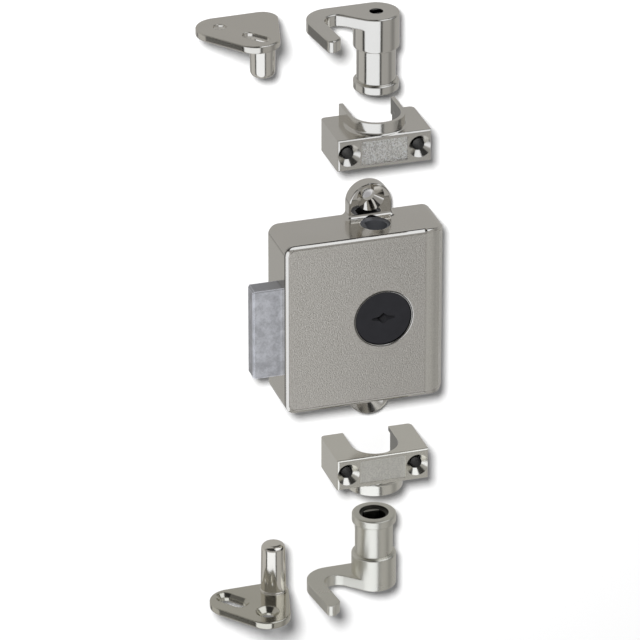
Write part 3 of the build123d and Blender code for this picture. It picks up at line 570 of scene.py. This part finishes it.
def backdrop_paper():
    """White paper that is clear from behind, with painted shade where the case's upper screw hole shows it.
    """
    material, n = new_material("backdrop_paper")
    _, x, _, z = n.place("Object")
    from_hole = n.distance(n.math("SUBTRACT", x, PAINTED_HOLE_SHADE[0]), n.math("SUBTRACT", z, PAINTED_HOLE_SHADE[1]))
    outside_painted_shade = n.ramp(from_hole, PAINTED_HOLE_SHADE_R * 0.2, PAINTED_HOLE_SHADE_R)
    # painted shade: the paper is greyed round the spot seen through the upper screw hole
    colour = n.mix(outside_painted_shade, grey(0.30, (0.98, 0.97, 1.0)), grey(0.95))
    white = n.add("BsdfDiffuse", {"Color": colour})
    clear = n.add("BsdfTransparent")
    n.output(n.add("MixShader", {0: n.geometry("Backfacing"), 1: white, 2: clear}))
    return material


def add_stage():
    """The floor and the backdrop, which the part neither reflects nor is lit by."""
    low_left = (-STAGE_HALF, -STAGE_HALF, FLOOR_Z)
    low_right = (STAGE_HALF, -STAGE_HALF, FLOOR_Z)
    far_right = (STAGE_HALF, STAGE_HALF, FLOOR_Z)
    far_left = (-STAGE_HALF, STAGE_HALF, FLOOR_Z)
    floor = sheet("floor", [low_left, low_right, far_right, far_left], floor_paper())
    backdrop = sheet("backdrop", [
        (-STAGE_HALF, BACKDROP_Y, FLOOR_Z), (STAGE_HALF, BACKDROP_Y, FLOOR_Z),
        (STAGE_HALF, BACKDROP_Y, STAGE_HALF), (-STAGE_HALF, BACKDROP_Y, STAGE_HALF),
    ], backdrop_paper())
    for ray in ("visible_diffuse", "visible_glossy", "visible_transmission", "visible_shadow"):
        setattr(backdrop, ray, False)
    floor.visible_diffuse = False
    floor.visible_glossy = False


def add_key_light(place):
    """A round soft light at this place, aimed at the part, that the metal doesn't reflect."""
    data = bpy.data.lights.new("key", "AREA")
    data.shape = "DISK"
    data.size = KEY_SIZE
    data.energy = KEY_POWER
    light = bpy.data.objects.new("key", data)
    light.location = place
    light.rotation_euler = (-Vector(place)).to_track_quat("-Z", "Y").to_euler()
    light.visible_glossy = False
    bpy.context.scene.collection.objects.link(light)


def build_world():
    """A studio as the metal sees it: grey walls, and white panels with dark edges.

    A bearing is in degrees from -Y towards +X, and z is the sine of the height above the horizon.
    """
    world = bpy.data.worlds.new("studio")
    world.use_nodes = True
    n = Nodes(world.node_tree)
    _, x, y, z = n.place("Generated")
    bearing = n.math("MULTIPLY", n.math("ARCTAN2", x, n.math("MULTIPLY", y, -1.0)), 180.0 / math.pi)
    above = n.ramp(z, -0.15, 0.1)
    below = n.without(above)

    # Walls below the horizon, which upright faces show
    low = n.blend(n.band(bearing, -142.0, -92.0, 6.0), 0.45, 0.55)
    low_corner = n.both(n.band(bearing, -156.0, -143.0, 4.0), n.math("LESS_THAN", z, -0.3))
    low = n.blend(low_corner, low, 0.18)
    low = n.blend(n.ramp(n.math("ABSOLUTE", bearing), 155.0, 160.0), low, 0.50)
    low = n.blend(n.band(bearing, 60.0, 85.0, 12.0), low, 0.29)
    low = n.blend(n.band(bearing, -88.0, 14.0, 2.0), low, n.blend(n.ramp(bearing, -10.0, 0.0), 0.04, 0.10))
    low_panel = n.band(bearing, -76.0, 3.0, 1.5)

    # Walls above the horizon, which fillets and top faces show
    high = n.blend(n.band(bearing, -100.0, 100.0, 8.0), 0.46, 0.04)
    steep = n.both(n.band(bearing, 100.0, 166.0, 6.0), n.ramp(z, 0.56, 0.64))
    high = n.blend(steep, high, 0.06)
    low_gap = n.both(n.band(bearing, -96.0, 60.0, 6.0), n.fall(z, 0.44, 0.52))
    high = n.blend(low_gap, high, 0.36)
    front_panel = n.both(n.band(bearing, 10.0, 100.0, 6.0), n.band(z, 0.50, 0.96, 0.03))
    roof_panel = n.both(n.band(bearing, 60.0, 142.0, 6.0), n.band(z, 0.89, 0.985, 0.015))
    upper_panel = n.either(front_panel, roof_panel)

    white = n.math("ADD", n.both(low_panel, below), n.both(upper_panel, above))
    walls = n.math("ADD", n.both(low, below), n.both(high, above))
    seen = n.blend(white, walls, PANEL_GLOW)
    tint = n.mix(white, grey(1.0, WALL_TINT), grey(1.0, PANEL_TINT))
    path = n.tree.nodes.new("ShaderNodeLightPath")
    plain = n.blend(path.outputs["Is Glossy Ray"], DULL_GLOW, seen)
    strength = n.blend(path.outputs["Is Camera Ray"], plain, 1.0)
    n.output(n.add("Background", {"Color": tint, "Strength": strength}), "OutputWorld")
    bpy.context.scene.world = world


back, right, up = camera_axes()
add_camera(back, right, up)
add_stage()
add_key_light((back + right * KEY_SIDE + up * KEY_RISE).normalized() * KEY_DISTANCE)
build_world()
bpy.context.scene.view_settings.view_transform = "Standard"
